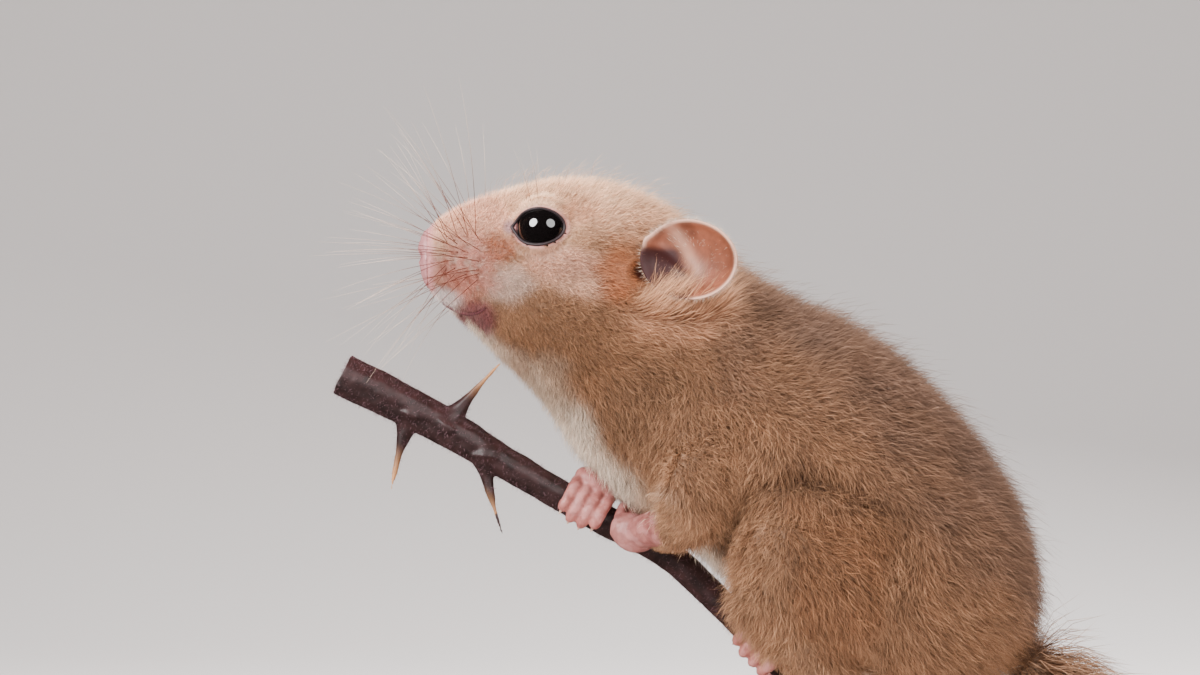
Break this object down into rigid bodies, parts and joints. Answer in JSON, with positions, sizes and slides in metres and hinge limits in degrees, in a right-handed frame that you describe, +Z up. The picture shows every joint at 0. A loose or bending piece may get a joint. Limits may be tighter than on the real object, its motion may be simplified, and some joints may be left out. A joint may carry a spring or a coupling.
{
  "type": "hazel dormouse display model",
  "caption": "Still, life-size hazel dormouse gripping a short cut length of bramble stem, held by a plain display stand.",
  "frame": {"origin": "middle of the stand base's underside", "axes": "+Z up, the animal faces -X and its left side is at -Y"},
  "size_m": [0.1223, 0.052, 0.1059],
  "materials": {
    "coat": "short dense fur, ginger brown with a cream underside",
    "bare_skin": "soft pink skin",
    "ear_skin": "thin brown-orange ear skin",
    "eye": "wet black",
    "bramble": "purple-brown downy bark",
    "base_wood": "dark satin wood",
    "rod_metal": "satin metal"
  },
  "bodies": {
    "root": {"nose": "bare_skin", "head": "coat", "neck": "coat", "torso": "coat", "eye_left": "eye", "eye_right": "eye", "ear_left": "ear_skin", "ear_right": "ear_skin", "foreleg_left": "coat", "foreleg_right": "coat", "forefoot_left": "bare_skin", "forefoot_right": "bare_skin", "hindleg_left": "coat", "hindleg_right": "coat", "hindfoot_left": "bare_skin", "hindfoot_right": "bare_skin", "tail": "coat", "perch_stem": "bramble", "stand_base": "base_wood", "stand_rod": "rod_metal"}
  },
  "joints": []
}
